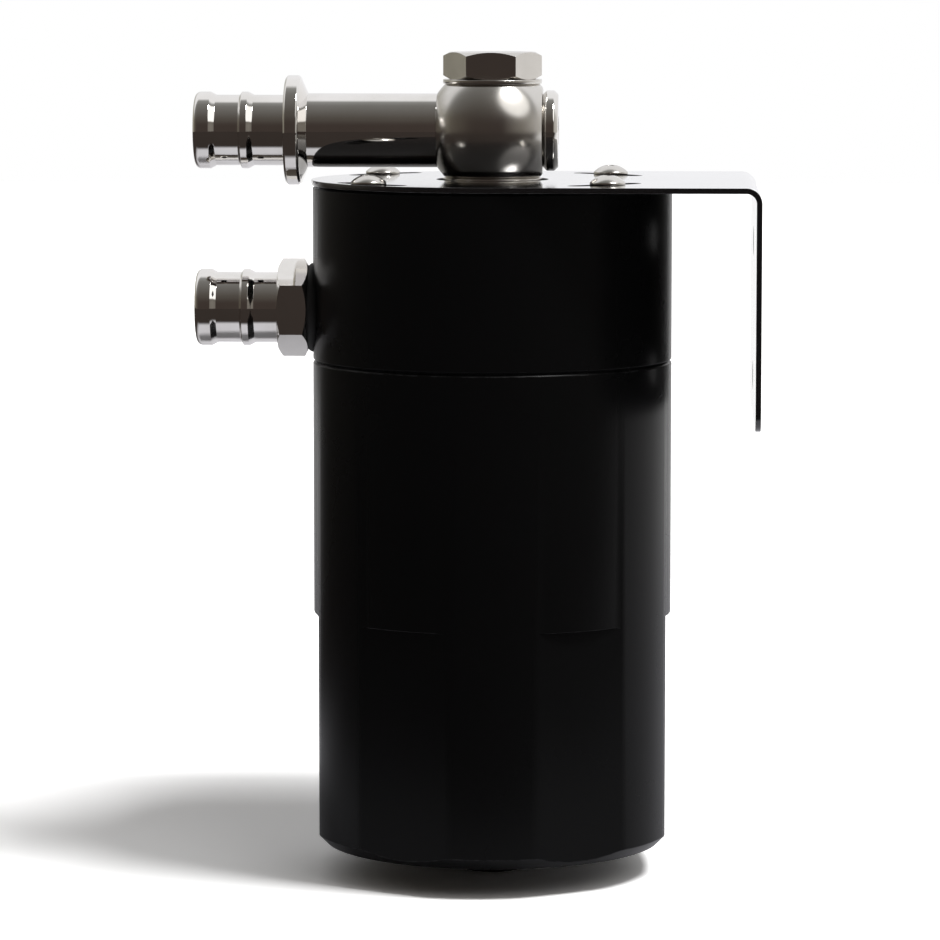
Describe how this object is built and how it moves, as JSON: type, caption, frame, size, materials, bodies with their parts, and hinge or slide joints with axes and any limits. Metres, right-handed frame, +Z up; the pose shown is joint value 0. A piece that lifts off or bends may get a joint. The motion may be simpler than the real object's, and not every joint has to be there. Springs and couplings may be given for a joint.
{
  "type": "oil catch can",
  "caption": "Round black oil catch can with a screw-off cup, hexagon drain plug, swivelling banjo hose outlet, barbed side inlet and a folded sheet mounting bracket.",
  "frame": {"origin": "on the can's axis at the foot of the drain plug, the face the can stands on", "axes": "+Z up along the can's axis, -X towards the hose tails, +X towards the bracket's leg"},
  "size_m": [0.1255, 0.0806, 0.1834],
  "materials": {
    "black_anodised": "satin black anodised",
    "plug_black": "satin black oxide on steel",
    "bracket_black": "gloss black coated aluminium sheet",
    "polished_plate": "bright polished plating",
    "stainless": "satin polished stainless steel",
    "seal_rubber": "matt black rubber",
    "inner_metal": "plain turned aluminium"
  },
  "bodies": {
    "can_head": {"head": "black_anodised", "bracket": "bracket_black", "bracket_screws": "stainless", "banjo_bolt": "stainless", "banjo_upper_washer": "stainless", "banjo_lower_washer": "stainless", "side_fitting": "polished_plate", "side_fitting_seal": "seal_rubber", "separator_tube": "inner_metal", "mesh_pack": "inner_metal", "screen_plate": "inner_metal", "screen_circlip": "stainless"},
    "banjo": {"banjo_eye": "stainless", "banjo_tail": "polished_plate", "banjo_end_plug": "polished_plate", "banjo_end_seal": "seal_rubber"},
    "cup_ring": {"cup_seal": "seal_rubber"},
    "cup": {"cup": "black_anodised"},
    "drain_ring": {"drain_seal": "seal_rubber"},
    "drain": {"drain_plug": "plug_black"}
  },
  "joints": [
    {"name": "banjo_swivel", "type": "hinge", "parent": "can_head", "child": "banjo", "pos_m": [0, 0, 0.166], "axis": [0, 0, 1], "range_deg": [-95, 95]},
    {"name": "cup_drop", "type": "slide", "parent": "can_head", "child": "cup_ring", "axis": [0, 0, -1], "range_m": [0, 0.012]},
    {"name": "cup_turn", "type": "hinge", "parent": "cup_ring", "child": "cup", "pos_m": [0, 0, 0.115], "axis": [0, 0, -1], "range_deg": [0, 1440]},
    {"name": "plug_drop", "type": "slide", "parent": "cup", "child": "drain_ring", "axis": [0, 0, -1], "range_m": [0, 0.007]},
    {"name": "plug_turn", "type": "hinge", "parent": "drain_ring", "child": "drain", "pos_m": [0, 0, 0.0065], "axis": [0, 0, -1], "range_deg": [0, 1440]}
  ],
  "couplings": [
    {"joint": "cup_drop", "follows": "cup_turn", "m_per_rad": 0.00047746},
    {"joint": "plug_drop", "follows": "plug_turn", "m_per_rad": 0.00027852}
  ]
}
